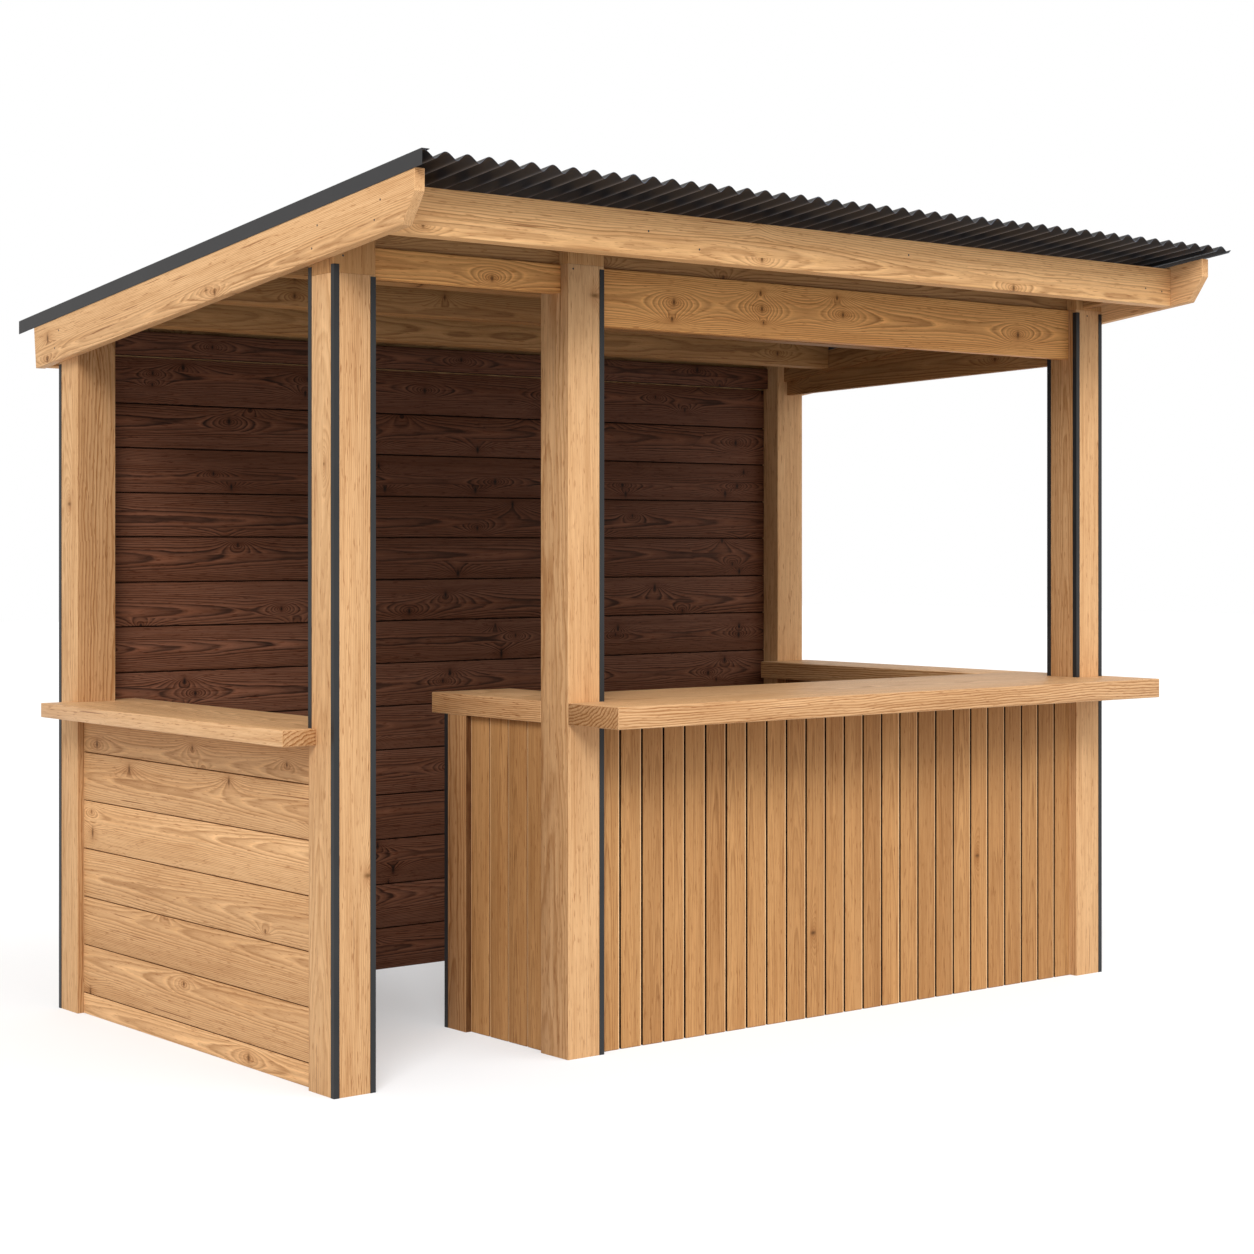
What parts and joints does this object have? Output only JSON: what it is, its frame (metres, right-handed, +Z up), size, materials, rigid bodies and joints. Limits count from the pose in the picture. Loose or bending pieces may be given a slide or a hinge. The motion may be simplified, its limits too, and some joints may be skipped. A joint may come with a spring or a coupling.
{
  "type": "outdoor garden bar",
  "caption": "Timber garden bar with a single-pitch corrugated roof, serving hatch with overhanging worktop, boarded counter, side shelf and dark lined back wall.",
  "frame": {"origin": "on the ground, below the centre of the bounding box", "axes": "+X along the front from the entrance side to the counter side, +Y from front to back, +Z up"},
  "size_m": [3.571, 2.5176, 2.6584],
  "materials": {
    "timber": "oiled",
    "worktop": "smooth, oiled",
    "cladding": "oiled",
    "lining": "dark stained",
    "strips": "satin",
    "flashing": "matt",
    "roof": "matt"
  },
  "bodies": {
    "root": {"post_front_left": "timber", "post_front_middle": "timber", "post_front_right": "timber", "post_back_left": "timber", "post_back_right": "timber", "post_counter_end": "timber", "post_heads": "timber", "strips_front_left": "strips", "strips_front_middle": "strips", "strips_front_right": "strips", "strips_back": "strips", "header_entrance": "timber", "header_serving": "timber", "upper_plates": "timber", "back_plate": "timber", "side_infill": "timber", "barge_left": "timber", "barge_right": "timber", "fascia_board_front": "timber", "fascia_board_back": "timber", "rafters": "timber", "purlins": "timber", "roof_sheets_under": "roof", "roof_sheets_over": "roof", "verge_flashing": "flashing", "worktop_front": "worktop", "worktop_return_left": "worktop", "worktop_return_right": "worktop", "counter_cladding_front": "cladding", "counter_cladding_left": "cladding", "counter_cladding_right": "cladding", "counter_rails": "timber", "left_wall_boards": "cladding", "left_wall_rails": "timber", "side_shelf": "worktop", "back_wall_boards": "cladding", "back_wall_lining": "lining", "back_wall_top_rail": "lining"}
  },
  "joints": []
}
